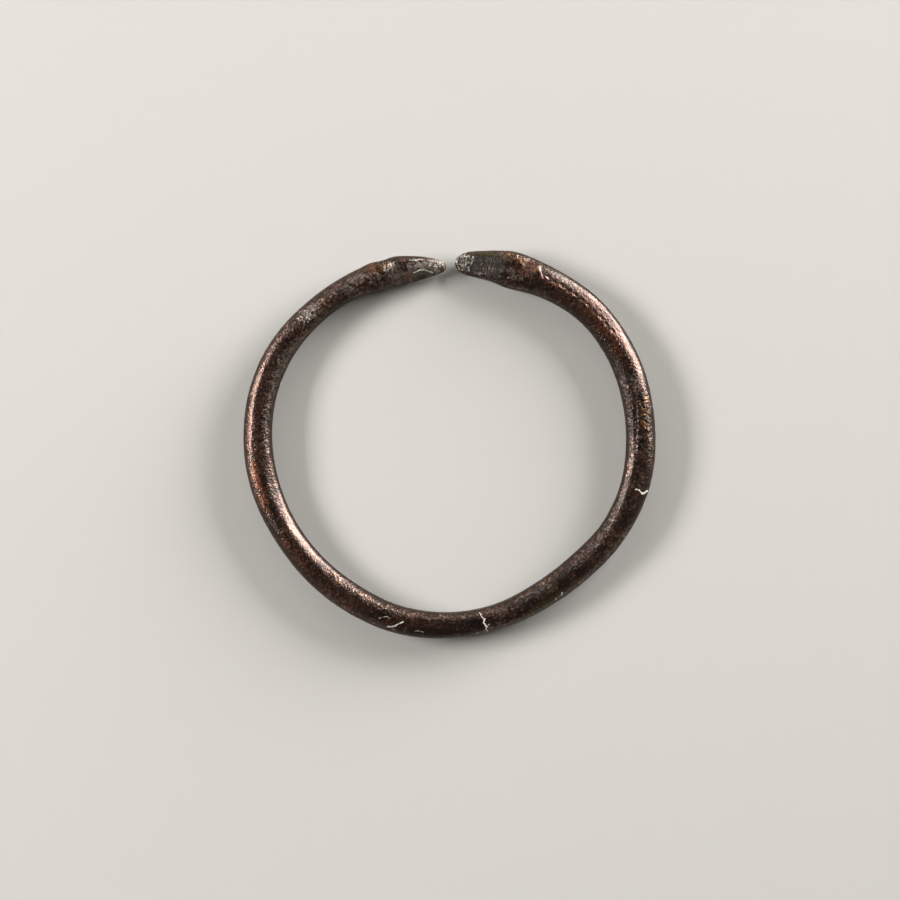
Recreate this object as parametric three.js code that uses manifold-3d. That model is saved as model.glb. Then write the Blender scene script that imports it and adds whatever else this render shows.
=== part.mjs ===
// Copper bracelet: one bar, forged, then bent round until its two snake heads nearly meet.
// Millimetres, +Z up. It lies on its underside at z = 0, with the gap between the heads
// towards +Y and the origin below the middle of its outline.

import * as THREE from "three";
import { mergeVertices } from "three/addons/utils/BufferGeometryUtils.js";
import Module from "manifold-3d";

const wasm = await Module();
wasm.setup();

// Hoop
const outerWidth = 65.0; // from side to side, along X
const outerDepth = 61.4; // from the heads to the back, along Y
const barWidth = 4.7; // the bar as it is seen from above
const barHeight = 4.4; // the bar from its underside to its crown
const footWear = 0.1; // worn off the underside, so that the hoop lies level
const tipGap = 1.4; // between the two snouts

// Left head, narrow and rolled towards the inside of the hoop
const leftHeadLength = 13.0;
const leftHeadWidth = 5.3;
const leftHeadHeight = 3.75;
const leftHeadRoll = THREE.MathUtils.degToRad(42);
const leftSnoutLift = 1.0; // the snout's underside above the surface

// Right head, broad and flat like a spatula
const rightHeadLength = 13.0;
const rightHeadWidth = 5.9;
const rightHeadHeight = 4.2;
const rightSnoutLift = 0.9;

// Filed faces: where each starts from its tip, how long it is and how deep the file bit there
const leftPanelStart = 1.9;
const leftPanelLength = 5.4;
const leftPanelDepth = 0.16;
const rightPanelStart = 0.9;
const rightPanelLength = 7.2;
const rightPanelDepth = 0.3;

// Scoop in the inner cheek of the left head
const scoopPlace = 3.5; // its middle, from the tip
const scoopLength = 3.0;
const scoopWidth = 2.1;
const scoopDepth = 0.42;
const scoopAround = THREE.MathUtils.degToRad(108); // from outward, over the crown, to the cheek

// Steps of the loft
const sides = 24;
const hoopRings = 84;
const headRings = 24;
const tipCrowding = 1.5; // above 1 the rings of a head crowd towards its tip

// Share of the gap that lies to the left of the middle
const leftGapShare = 0.36;

// How far the bar's centre line stands off the middle, at even turns from +Y by way of -X
const reachShares = [
  0.983, 0.988, 1.006, 1.012, 1.016, 1.01, 0.998, 0.988, 0.984, 0.988, 0.997, 1.011, 1.008,
  0.993, 0.969, 0.965, 0.982, 0.994, 0.998, 1.008, 1.024, 1.037, 1.025, 1.01, 1.003,
];

// Sections at even steps along the hoop, from the left neck to the right one
const hoopShares = [
  // width, height, corner: 2 is an ellipse, more is squarer
  [0.84, 0.94, 2.2],
  [0.9, 0.96, 2.3],
  [0.95, 0.97, 2.4],
  [0.98, 0.99, 2.3],
  [0.99, 1.0, 2.3],
  [0.96, 0.98, 2.2],
  [0.96, 0.99, 2.3],
  [0.99, 1.0, 2.3],
  [0.95, 0.99, 2.4],
  [0.89, 0.97, 2.5],
  [0.88, 0.96, 2.5],
  [0.93, 0.95, 2.4],
  [0.97, 0.96, 2.3],
  [0.94, 0.98, 2.3],
  [0.99, 1.0, 2.2],
  [1.02, 1.0, 2.2],
  [1.01, 0.99, 2.3],
  [0.99, 0.98, 2.3],
  [1.03, 0.98, 2.3],
];

// Sections along each head, from the tip to the neck
const leftHeadShares = [
  // along, width, height, lift, corner, roll
  [0.0, 0.11, 0.12, 1.22, 2.0, 1.0],
  [0.02, 0.29, 0.28, 1.0, 2.1, 1.0],
  [0.06, 0.43, 0.38, 0.86, 2.3, 1.0],
  [0.11, 0.52, 0.45, 0.78, 2.6, 1.0],
  [0.17, 0.59, 0.51, 0.68, 2.9, 1.0],
  [0.25, 0.69, 0.58, 0.54, 3.1, 1.0],
  [0.35, 0.8, 0.66, 0.4, 3.1, 1.0],
  [0.46, 0.89, 0.74, 0.27, 2.9, 0.97],
  [0.58, 0.98, 0.83, 0.15, 2.6, 0.88],
  [0.66, 0.95, 0.87, 0.09, 2.4, 0.76],
  [0.74, 0.86, 0.91, 0.05, 2.3, 0.6],
  [0.84, 0.91, 0.97, 0.02, 2.3, 0.38],
  [0.92, 0.9, 1.01, 0.0, 2.3, 0.2],
  [1.0, 0.83, 1.04, 0.0, 2.2, 0.08],
];
const rightHeadShares = [
  // along, width, height, lift, corner
  [0.0, 0.1, 0.12, 1.3, 2.0],
  [0.01, 0.24, 0.23, 1.12, 2.1],
  [0.03, 0.34, 0.32, 0.98, 2.2],
  [0.055, 0.44, 0.39, 0.88, 2.3],
  [0.08, 0.51, 0.44, 0.8, 2.4],
  [0.11, 0.57, 0.48, 0.73, 2.5],
  [0.16, 0.645, 0.54, 0.64, 2.6],
  [0.25, 0.715, 0.63, 0.5, 2.7],
  [0.35, 0.765, 0.71, 0.37, 2.8],
  [0.44, 0.825, 0.77, 0.27, 3.0],
  [0.54, 0.9, 0.83, 0.18, 3.2],
  [0.635, 0.985, 0.88, 0.1, 3.3],
  [0.71, 1.0, 0.915, 0.06, 3.2],
  [0.8, 0.985, 0.95, 0.02, 2.9],
  [0.88, 0.97, 0.98, 0.0, 2.6],
  [1.0, 0.915, 1.01, 0.0, 2.3],
];

// Hammer marks along the whole bar
const hammerShares = [
  // along, around in degrees, length, spread in degrees, depth
  [0.0565, 60, 0.2, 35, 0.06],
  [0.13, 62, 0.9, 34, 0.045],
  [0.18, 128, 1.1, 30, 0.035],
  [0.235, 40, 1.0, 32, 0.04],
  [0.29, 118, 0.8, 30, 0.045],
  [0.335, 20, 1.1, 30, 0.035],
  [0.385, 96, 1.0, 34, 0.035],
  [0.44, 150, 1.2, 32, 0.04],
  [0.485, 70, 0.9, 30, 0.045],
  [0.53, 12, 1.1, 30, 0.04],
  [0.575, 112, 1.1, 34, 0.04],
  [0.62, 44, 1.0, 32, 0.045],
  [0.665, 138, 0.9, 30, 0.04],
  [0.715, 84, 1.2, 30, 0.035],
  [0.765, 24, 0.9, 30, 0.045],
  [0.81, 122, 1.0, 32, 0.035],
  [0.86, 66, 1.0, 30, 0.04],
  [0.9326, 48, 0.35, 30, 0.06],
];

const skyward = new THREE.Vector3(0, 0, 1);

// The centre line, flat in the plane of the hoop
const spine = new THREE.CatmullRomCurve3(
  reachShares.map((reach, step) => {
    const turn = (step / (reachShares.length - 1)) * 2 * Math.PI;
    const side = (-Math.sin(turn) * reach * (outerWidth - barWidth)) / 2;
    const front = (Math.cos(turn) * reach * (outerDepth - barWidth)) / 2;
    return new THREE.Vector3(side, front, 0);
  }),
);
spine.arcLengthDivisions = 1000;
const spineLength = spine.getLength();

// Places along the centre line, from its start in the gap
const leftTip = tipGap * leftGapShare;
const rightTip = spineLength - tipGap * (1 - leftGapShare);
const leftNeck = leftTip + leftHeadLength;
const rightNeck = rightTip - rightHeadLength;

// Every section in millimetres at its place, ready to be read at any place between
function sectionTrack() {
  const left = leftHeadShares.map(([along, width, height, lift, corner, roll]) => [
    leftTip + along * leftHeadLength,
    width * leftHeadWidth,
    height * leftHeadHeight,
    lift * leftSnoutLift,
    corner,
    roll * leftHeadRoll,
  ]);
  const hoop = hoopShares.map(([width, height, corner], step) => [
    THREE.MathUtils.lerp(leftNeck, rightNeck, (step + 1) / (hoopShares.length + 1)),
    width * barWidth,
    height * barHeight,
    0,
    corner,
    0,
  ]);
  const right = rightHeadShares.toReversed().map(([along, width, height, lift, corner]) => [
    rightTip - along * rightHeadLength,
    width * rightHeadWidth,
    height * rightHeadHeight,
    lift * rightSnoutLift,
    corner,
    0,
  ]);
  const rows = [...left, ...hoop, ...right];
  const places = rows.map(([place]) => place);
  const samples = rows.flatMap(([, ...sizes]) => sizes);
  return new THREE.CubicInterpolant(places, samples, samples.length / places.length);
}

const sections = sectionTrack();

// How deep the hammer bit at a place along the bar and an angle around it
function hammered(place, around) {
  const degrees = THREE.MathUtils.radToDeg(around);
  let depth = 0;
  for (const [along, middle, length, spread, bite] of hammerShares) {
    const away = (place - along * spineLength) / (length * barWidth);
    const aside = (THREE.MathUtils.euclideanModulo(degrees - middle + 180, 360) - 180) / spread;
    depth += bite * barWidth * Math.exp(-away * away - aside * aside);
  }
  return depth;
}

// A point of the section, outward and upward from its own middle
function sectionPoint(place, around) {
  const [width, height, , corner, roll] = sections.evaluate(place);
  const cos = Math.cos(around);
  const sin = Math.sin(around);
  const bite = hammered(place, around);
  const out = (Math.sign(cos) * Math.abs(cos) ** (2 / corner) * width) / 2 - cos * bite;
  const up = (Math.sign(sin) * Math.abs(sin) ** (2 / corner) * height) / 2 - sin * bite;
  return new THREE.Vector2(out, up).rotateAround(new THREE.Vector2(), roll);
}

const turns = Array.from({ length: sides }, (_, side) => (side / sides) * 2 * Math.PI);

// Where the section at a place sits: its middle, the way outward and the way along the bar
function seatAt(place) {
  const share = place / spineLength;
  const along = spine.getTangentAt(share);
  const outward = along.clone().cross(skyward);
  const lift = sections.evaluate(place)[2];
  const lowest = Math.min(...turns.map((around) => sectionPoint(place, around).y));
  const middle = spine.getPointAt(share).setZ(lift - lowest);
  return { middle, outward, along };
}

function surfacePoint(place, around, { middle, outward }) {
  const point = sectionPoint(place, around);
  return middle.clone().addScaledVector(outward, point.x).addScaledVector(skyward, point.y);
}

function ringAt(place) {
  const seat = seatAt(place);
  return turns.map((around) => surfacePoint(place, around, seat));
}

// The places of the rings, close together at the two tips
function ringPlaces() {
  const eased = Array.from({ length: headRings }, (_, ring) => (ring / headRings) ** tipCrowding);
  const left = eased.map((share) => leftTip + share * leftHeadLength);
  const right = eased.map((share) => rightTip - share * rightHeadLength).reverse();
  const hoop = Array.from({ length: hoopRings + 1 }, (_, ring) => {
    return THREE.MathUtils.lerp(leftNeck, rightNeck, ring / hoopRings);
  });
  return [...left, ...hoop, ...right];
}

// A closed skin over the rings, drawn to a point at both ends
function loft(rings) {
  const count = rings.length * sides;
  const ends = [rings[0], rings.at(-1)].map((ring) => {
    return ring.reduce((sum, point) => sum.add(point), new THREE.Vector3()).divideScalar(sides);
  });
  const index = [];
  for (let side = 0; side < sides; side += 1) {
    const next = (side + 1) % sides;
    index.push(count, side, next);
    index.push(count + 1, count - sides + next, count - sides + side);
    for (let ring = 0; ring < count - sides; ring += sides) {
      index.push(ring + side, ring + sides + side, ring + sides + next);
      index.push(ring + side, ring + sides + next, ring + next);
    }
  }
  return new THREE.BufferGeometry().setFromPoints([...rings.flat(), ...ends]).setIndex(index);
}

function solidOf(geometry) {
  geometry.deleteAttribute("normal");
  geometry.deleteAttribute("uv");
  const merged = mergeVertices(geometry);
  const vertProperties = merged.getAttribute("position").array;
  const triVerts = Uint32Array.from(merged.getIndex().array);
  return new wasm.Manifold(new wasm.Mesh({ numProp: 3, vertProperties, triVerts }));
}

function geometryOf(solid) {
  const { vertProperties, triVerts } = solid.getMesh();
  const geometry = new THREE.BufferGeometry();
  geometry.setAttribute("position", new THREE.BufferAttribute(vertProperties, 3));
  geometry.setIndex(new THREE.BufferAttribute(triVerts, 1));
  geometry.computeVertexNormals();
  return geometry;
}

// The slab of metal that wear takes off below the hoop
function wornFoot() {
  const slab = new THREE.BoxGeometry(2 * outerWidth, 2 * outerDepth, barHeight);
  return solidOf(slab.translate(0, 0, footWear - barHeight / 2));
}

// The middle of the bar at a place, raised to the highest point of its ring
function crownAt(place) {
  const height = Math.max(...ringAt(place).map((point) => point.z));
  return spine.getPointAt(place / spineLength).setZ(height);
}

// What the file takes off a head: a slab whose flat underside starts at a depth below the
// crown and comes out at the surface one panel length on
function filedSlab({ tip, towards, start, length, depth, headWidth }) {
  const front = crownAt(tip + towards * start);
  front.z -= depth;
  const along = crownAt(tip + towards * (start + length)).sub(front).normalize();
  const across = skyward.clone().cross(along).normalize();
  const before = start + tipGap / 2;
  const slab = new THREE.BoxGeometry(before + length + depth, 2 * headWidth, barHeight);
  slab.translate((length + depth - before) / 2, 0, barHeight / 2);
  const basis = new THREE.Matrix4().makeBasis(along, across, along.clone().cross(across));
  return solidOf(slab.applyMatrix4(basis.setPosition(front)));
}

const leftPanel = {
  tip: leftTip,
  towards: 1,
  start: leftPanelStart,
  length: leftPanelLength,
  depth: leftPanelDepth,
  headWidth: leftHeadWidth,
};
const rightPanel = {
  tip: rightTip,
  towards: -1,
  start: rightPanelStart,
  length: rightPanelLength,
  depth: rightPanelDepth,
  headWidth: rightHeadWidth,
};

// The scoop is the cap of an ellipsoid whose middle stands off the cheek by the scoop's depth,
// which is half the ellipsoid's own height
function scoop() {
  const place = leftTip + scoopPlace;
  const seat = seatAt(place);
  const [before, point, after] = [-1, 0, 1].map((step) => {
    return surfacePoint(place, scoopAround + (step * Math.PI) / sides, seat);
  });
  const across = after.sub(before).normalize();
  const off = seat.along.clone().cross(across).normalize();
  const rimShare = Math.sqrt(3) / 2;
  const bowl = new THREE.SphereGeometry(1, 2 * sides, sides);
  bowl.scale(scoopLength / 2 / rimShare, scoopWidth / 2 / rimShare, 2 * scoopDepth);
  const basis = new THREE.Matrix4().makeBasis(seat.along, across, off);
  return solidOf(bowl.applyMatrix4(basis.setPosition(point.addScaledVector(off, scoopDepth))));
}

function copper() {
  return new THREE.MeshStandardMaterial({ color: 0x6b4433, roughness: 0.45, metalness: 0.9 });
}

function bracelet() {
  const forged = solidOf(loft(ringPlaces().map(ringAt)));
  const filed = forged
    .subtract(filedSlab(leftPanel))
    .subtract(filedSlab(rightPanel))
    .subtract(scoop())
    .subtract(wornFoot());
  const mesh = new THREE.Mesh(geometryOf(filed), copper());
  mesh.name = "bracelet";
  mesh.geometry.computeBoundingBox();
  const { min, max } = mesh.geometry.boundingBox;
  mesh.position.set(-(min.x + max.x) / 2, -(min.y + max.y) / 2, -min.z);
  return mesh;
}

const group = new THREE.Group();
group.add(bracelet());

export default group;
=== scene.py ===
"""Open copper bracelet whose two ends are snake heads: its looks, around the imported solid."""

import math

import bpy
import numpy as np
from bpy.props import FloatProperty, FloatVectorProperty, IntProperty, PointerProperty
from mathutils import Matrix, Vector, noise


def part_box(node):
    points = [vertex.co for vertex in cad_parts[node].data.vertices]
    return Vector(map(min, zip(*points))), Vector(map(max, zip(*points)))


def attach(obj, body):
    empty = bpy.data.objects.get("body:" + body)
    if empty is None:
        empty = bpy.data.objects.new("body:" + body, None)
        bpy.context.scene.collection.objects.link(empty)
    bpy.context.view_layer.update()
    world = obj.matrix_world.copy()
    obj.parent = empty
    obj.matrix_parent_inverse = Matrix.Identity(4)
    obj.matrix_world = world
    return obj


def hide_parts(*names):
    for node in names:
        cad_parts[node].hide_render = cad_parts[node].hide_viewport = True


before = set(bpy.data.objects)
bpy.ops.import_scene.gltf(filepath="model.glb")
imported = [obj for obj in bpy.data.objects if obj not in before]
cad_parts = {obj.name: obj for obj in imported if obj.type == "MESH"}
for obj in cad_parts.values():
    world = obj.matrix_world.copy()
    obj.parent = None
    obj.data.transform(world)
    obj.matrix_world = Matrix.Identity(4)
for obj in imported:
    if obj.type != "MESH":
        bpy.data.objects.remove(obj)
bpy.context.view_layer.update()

bl_info = {
    "name": "Copper snake-head bracelet",
    "version": (1, 0, 0),
    "blender": (4, 5, 0),
    "location": "View3D > Sidebar > Bracelet",
    "description": "Dresses the packed bar: its skin, file marks, deposits, patina and stage",
    "category": "Object",
}

NODE = "bracelet"
PIECE = "bracelet_skin"
MM = 0.001
BAR_LOW, BAR_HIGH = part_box(NODE)


def linear(code):
    """An sRGB hex value such as "6b4433" as linear red, green and blue."""
    shares = (int(code[i : i + 2], 16) / 255 for i in (0, 2, 4))
    return tuple(c / 12.92 if c <= 0.04045 else ((c + 0.055) / 1.055) ** 2.4 for c in shares)


def colour(name, code, description):
    """A colour setting with its default."""
    return FloatVectorProperty(
        name=name, description=description, subtype="COLOR", size=3, min=0.0, max=1.0,
        default=linear(code),
    )


def length(name, millimetres, description):
    """A length setting, given in millimetres and held in metres."""
    return FloatProperty(
        name=name, description=description, default=millimetres * MM, subtype="DISTANCE",
        unit="LENGTH", precision=6,
    )


def power(name, watts, description):
    """The power setting of a lamp."""
    return FloatProperty(name=name, description=description, default=watts, unit="POWER")


class BraceletSkin(bpy.types.PropertyGroup):
    """How finely the bar is meshed and how uneven the smith and the soil left it."""

    voxel: length("Mesh step", 0.25, "Distance between points of the skin")
    soften: IntProperty(
        name="Hoop softening", description="Smoothing passes on the hoop", default=11, min=0
    )
    soften_heads: IntProperty(
        name="Head softening", description="Smoothing passes on the heads", default=2, min=0
    )
    hammer_size: length("Hammer mark size", 3.2, "Width of the broad marks left by the hammer")
    hammer_depth: length("Hammer mark depth", 0.05, "Depth of the broad marks")
    dimple_size: length("Dimple size", 0.95, "Width of the small dimples in the hammered skin")
    dimple_depth: length("Dimple depth", 0.022, "Depth of the small dimples")
    grain_size: length("Grain size", 0.6, "Spacing of the pitted grain that corrosion left")
    grain_depth: length("Grain depth", 0.05, "Depth of the pitted grain")
    pit_size: length("Pit size", 0.42, "Spacing of the pits in the roughest places")
    pit_depth: length("Pit depth", 0.06, "Depth of the pits in the roughest places")
    file_step: length("File mark step", 0.17, "Spacing of the file's strokes on the right head")
    file_depth: length("File mark depth", 0.022, "Depth of the file's strokes")


class BraceletDeposits(bpy.types.PropertyGroup):
    """What the soil left on the metal."""

    lime_height: length("Lime height", 0.06, "How far the lime crust stands proud of the metal")
    ochre_height: length("Earth height", 0.05, "How far the ochre earth stands proud of the metal")
    streak_width: length("Streak width", 0.18, "Width of the white streaks")
    streak_height: length("Streak height", 0.03, "How far the streaks stand proud of the metal")
    curl_size: length("Crust ridge spacing", 0.8, "Distance between the ridges of the snouts' crust")


class BraceletColours(bpy.types.PropertyGroup):
    """Colours of the metal, its patina, its deposits, and the painted shade and highlights."""

    pit: colour("Pits", "19120e", "Near-black oxide at the bottom of the pits")
    umber: colour("Umber patina", "2a1c14", "The darker brown of the patina")
    # painted shade: this darker colour goes on the flanks and on patches of the crown and sides,
    # where it also dulls the gloss
    dark: colour("Dark patina", "241710", "Thick dark oxide on the flanks")
    brown: colour("Brown patina", "4e3327", "The brown of most of the patina")
    russet: colour("Russet patina", "5e3826", "Redder patina over the crown")
    copper: colour("Bare copper", "c09a82", "Grains of metal rubbed bare")
    cuprite: colour("Cuprite", "824a2c", "Orange-red copper oxide")
    film: colour("Grey film", "7b7068", "Thin grey film of salts")
    lime: colour("Lime", "8d877b", "Chalky white crust from the soil")
    # also painted highlights along the left head's scoop rim and upper edge
    streak: colour("Streaks", "d2cdc0", "Whiter lime of the thin streaks")
    ochre: colour("Ochre earth", "7a5529", "Yellow-brown earth held in pits")
    # also painted shade in the left head's scoop, over a faint olive-green tint
    olive: colour("Olive bloom", "3b371b", "Faint olive-green bloom")
    filed: colour("Filed metal", "544d47", "Grey-brown of the filed faces")


class BraceletStage(bpy.types.PropertyGroup):
    """Floor, lamps and camera."""

    paper: colour("Floor", "c6c3bd", "Pale paper that the bracelet lies on")
    fill: FloatProperty(
        name="Fill", description="Strength of the light from all round", default=0.01,
        subtype="FACTOR", min=0.0, max=1.0, precision=3,
    )
    left_lamp: power("Left lamp", 10.0, "Power of the lamp low on the left")
    right_lamp: power("Right lamp", 17.0, "Power of the lamp low behind on the right")
    back_lamp: power("Back lamp", 1.6, "Power of the weak lamp behind the heads")
    lens: FloatProperty(
        name="Lens", description="Focal length in millimetres", default=150.0, unit="CAMERA"
    )
    frame_width: length("Frame width", 141.3, "Width of the picture at the bar")
    aim_x: length("Aim X", 0.0785, "Where the middle of the picture falls, along X")
    aim_y: length("Aim Y", -0.8635, "Where the middle of the picture falls, along Y")


def coordinates(piece):
    """Vertices in millimetres."""
    flat = np.empty(len(piece.data.vertices) * 3)
    piece.data.vertices.foreach_get("co", flat)
    return flat.reshape(-1, 3) / MM


def smoothed(values, passes):
    """Values averaged with their neighbours, over and over; the ends stay."""
    for _ in range(passes):
        values[1:-1] = (values[:-2] + 2 * values[1:-1] + values[2:]) / 4
    return values


# The bar laid out straight


class Bar:
    """Where a point of the bar lies along it, across it and above its middle, in millimetres.

    Along runs anticlockwise from the left snout; across is positive towards the outside.
    """

    STEP = 1.5  # degrees between the places where the bar is measured
    PLACES = 2400  # points of the centre line
    MIDDLE = 2.15  # height of the bar's middle in millimetres
    REACH_PASSES, AHEAD_PASSES = 8, 12  # smoothing of the centre line and of its direction
    SEARCHES = 3  # rounds that bring a point to its nearest place on the centre line

    def __init__(self, points):
        self.turns, self.centre = self.centre_line(points)
        steps = np.linalg.norm(np.diff(self.centre, axis=0), axis=1)
        self.run = np.concatenate([[0.0], np.cumsum(steps)])
        self.length = self.run[-1]
        ahead = smoothed(np.gradient(self.centre, axis=0), self.AHEAD_PASSES)
        self.ahead = ahead / np.linalg.norm(ahead, axis=1)[:, None]
        self.out = np.stack([self.ahead[:, 1], -self.ahead[:, 0]], 1)

    def centre_line(self, points):
        """Even turns, and the middle of the bar at each."""
        turn = self.turn(points)
        reach = np.hypot(points[:, 0], points[:, 1])
        places = np.arange(self.STEP, 360 - self.STEP / 2, self.STEP)
        near = [np.abs(turn - p) < self.STEP for p in places]
        middle = np.array([(reach[n].min() + reach[n].max()) / 2 for n in near])
        turns = np.linspace(places[0], places[-1], self.PLACES)
        reach = np.interp(turns, places, smoothed(middle, self.REACH_PASSES))
        angles = np.radians(turns)
        return turns, np.stack([-reach * np.sin(angles), reach * np.cos(angles)], 1)

    @staticmethod
    def turn(points):
        """Degrees from +Y, anticlockwise."""
        return (np.degrees(np.arctan2(points[:, 1], points[:, 0])) - 90) % 360

    def places(self, points):
        """Along, across and height of each point."""
        last = self.PLACES - 1
        index = np.clip(np.searchsorted(self.turns, self.turn(points)), 0, last)
        for _ in range(self.SEARCHES):
            off = points[:, :2] - self.centre[index]
            step = (off * self.ahead[index]).sum(1) / (self.length / self.PLACES)
            index = np.clip(index + np.round(step).astype(int), 0, last)
        off = points[:, :2] - self.centre[index]
        along = self.run[index] + (off * self.ahead[index]).sum(1)
        return along, (off * self.out[index]).sum(1), points[:, 2]

    def around(self, across, up):
        """Degrees round the bar: 0 faces outwards, 90 up, 180 inwards."""
        return np.degrees(np.arctan2(up - self.MIDDLE, across)) % 360


BAR = Bar(coordinates(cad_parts[NODE]))

# Small helpers

WEIGHT_STEPS = 16  # even steps that the weights of a vertex group are rounded to
SEED_SHIFTS = (7.3, 3.1, 5.7)  # how far each seed moves the noise, along X, Y and Z
FAR_OFF = 99.0  # millimetres, further than any two places of the bar
SOFT_EDGE = (1.3, 0.4)  # where a patch ends and where it is full, as shares of its half sizes
PANEL = (174.4, 181.0)  # where the right head's filed face lies along the bar, in millimetres
PANEL_FADE = (-0.6, 0.7)  # where it starts to show and is full, in millimetres from its start
PANEL_RAGGED = 0.9  # how far in millimetres noise moves that start
LEVEL = (0.92, 0.975)  # upward share of the normal at the rim of the filed face, and on it

# File strokes: how far they lean, how much longer than wide they are, and the step and the
# strength of those that run along the bar, as shares of the others'
LEAN, SLENDER, LENGTHWISE_STEP, LENGTHWISE_SHARE = 0.06, 18.0, 1.2, 0.75


def alone(piece):
    """Selects one object and makes it active."""
    bpy.ops.object.select_all(action="DESELECT")
    piece.select_set(True)
    bpy.context.view_layer.objects.active = piece


def normals(piece):
    """Vertex normals."""
    flat = np.empty(len(piece.data.vertices) * 3)
    piece.data.vertex_normals.foreach_get("vector", flat)
    return flat.reshape(-1, 3)


def put_back(piece, points):
    """Writes vertices that are given in millimetres."""
    piece.data.vertices.foreach_set("co", (points * MM).astype(np.float32).ravel())
    piece.data.update()


def finish_with(piece, kind, name, **settings):
    """Adds a modifier and applies it."""
    modifier = piece.modifiers.new(name, kind)
    for key, value in settings.items():
        setattr(modifier, key, value)
    alone(piece)
    bpy.ops.object.modifier_apply(modifier=modifier.name)


def weigh(piece, name, weights):
    """A vertex group with a weight for each point, in even steps."""
    group = piece.vertex_groups.new(name=name)
    steps = np.round(np.clip(weights, 0, 1) * WEIGHT_STEPS).astype(int)
    for step in range(1, WEIGHT_STEPS + 1):
        group.add(np.flatnonzero(steps == step).tolist(), step / WEIGHT_STEPS, "REPLACE")
    return group.name


def smooth_step(low, high, value):
    """0 at low and 1 at high, smooth between and level beyond; low may be the larger."""
    share = np.clip((value - low) / (high - low), 0, 1)
    return share * share * (3 - 2 * share)


def rough(points, size, octaves, seed):
    """Fractal noise at each point, about -1 to 1, with features of that size in millimetres.

    Each octave is twice as fine as the one before and half as strong.
    """
    shift = Vector([seed * step for step in SEED_SHIFTS])
    return np.array(
        [noise.fractal(Vector(p) / size + shift, 1.0, 2.0, octaves) for p in points]
    )


def paint(piece, name, values):
    """Stores a value for each point under a name that the material reads."""
    layer = piece.data.attributes.get(name) or piece.data.attributes.new(name, "FLOAT", "POINT")
    layer.data.foreach_set("value", values.astype(np.float32))


def split_faces(piece, chosen, soften):
    """Divides the chosen faces in four and softens what that leaves."""
    alone(piece)
    mesh = piece.data
    for part, flags in (
        (mesh.vertices, np.zeros(len(mesh.vertices), bool)),
        (mesh.edges, np.zeros(len(mesh.edges), bool)),
        (mesh.polygons, chosen),
    ):
        part.foreach_set("select", flags)
    bpy.ops.object.mode_set(mode="EDIT")
    bpy.ops.mesh.select_mode(type="FACE")
    bpy.ops.mesh.subdivide(number_cuts=1)
    bpy.ops.mesh.vertices_smooth(factor=0.5, repeat=soften)
    bpy.ops.object.mode_set(mode="OBJECT")


def distance_to_path(along, across, path):
    """Distance in millimetres from each point to a path of (along, across) corners."""
    best = np.full(len(along), FAR_OFF)
    for (a0, c0), (a1, c1) in zip(path[:-1], path[1:]):
        da, dc = a1 - a0, c1 - c0
        share = np.clip(((along - a0) * da + (across - c0) * dc) / (da * da + dc * dc), 0, 1)
        best = np.minimum(best, np.hypot(along - a0 - share * da, across - c0 - share * dc))
    return best


def file_strokes(along, across, step):
    """Fine lines as heights on both sides of 0: most run over the bar, fewer along it."""
    flat = np.zeros(len(along))
    over = np.stack([along + LEAN * across, across / SLENDER, flat], 1)
    lengthwise = np.stack([along / SLENDER, across, flat], 1)
    return rough(over, step, octaves=1, seed=6) + LENGTHWISE_SHARE * rough(
        lengthwise, LENGTHWISE_STEP * step, octaves=1, seed=9
    )


def patches(along, across, spots, ragged=0.0):
    """Oval patches with soft edges, which a ragged value at each point tears."""
    mask = np.zeros(len(along))
    for place, side, half_length, half_breadth, strength in spots:
        far = np.hypot((along - place) / half_length, (across - side) / half_breadth)
        mask = np.maximum(mask, strength * smooth_step(*SOFT_EDGE, far + ragged))
    return mask


def filed_face(along, facing, ragged=0.0):
    """1 on the flat that is filed on top of the right head, 0 off it."""
    inside = along + PANEL_RAGGED * ragged - PANEL[0]
    return smooth_step(*LEVEL, facing[:, 2]) * smooth_step(*PANEL_FADE, inside)


def face_places(piece, bar):
    """Along, across and height of each face's middle."""
    flat = np.empty(len(piece.data.polygons) * 3)
    piece.data.polygons.foreach_get("center", flat)
    return bar.places(flat.reshape(-1, 3) / MM)


# What the bar carries, by place: millimetres along it, and across it from its middle line

HEAD_FADE = (9.0, 15.0)  # where a head starts to pass into the hoop and where the hoop begins
FINE_HEAD = 11.0  # how far from its tip a head is finely meshed
FINE_PARTS = ((140.6, 5.6), (161.0, 7.6))  # middle and reach of the crusts and of the row of dents

SHOULDERS = [
    # along, half length, around in degrees, spread in degrees, depth: dressed flatter by the
    # hammer, or left as a low crest where the depth is below zero
    (128.0, 13.0, 135, 34, 0.05),
    (157.0, 15.0, 52, 36, 0.11),
    (20.0, 8.0, 60, 30, 0.05),
    (112.0, 9.0, 125, 36, 0.06),
    (41.0, 16.0, 61, 17, -0.03),
    (129.0, 9.0, 119, 12, -0.045),
    (62.0, 15.0, 130, 34, 0.13),
]

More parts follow.
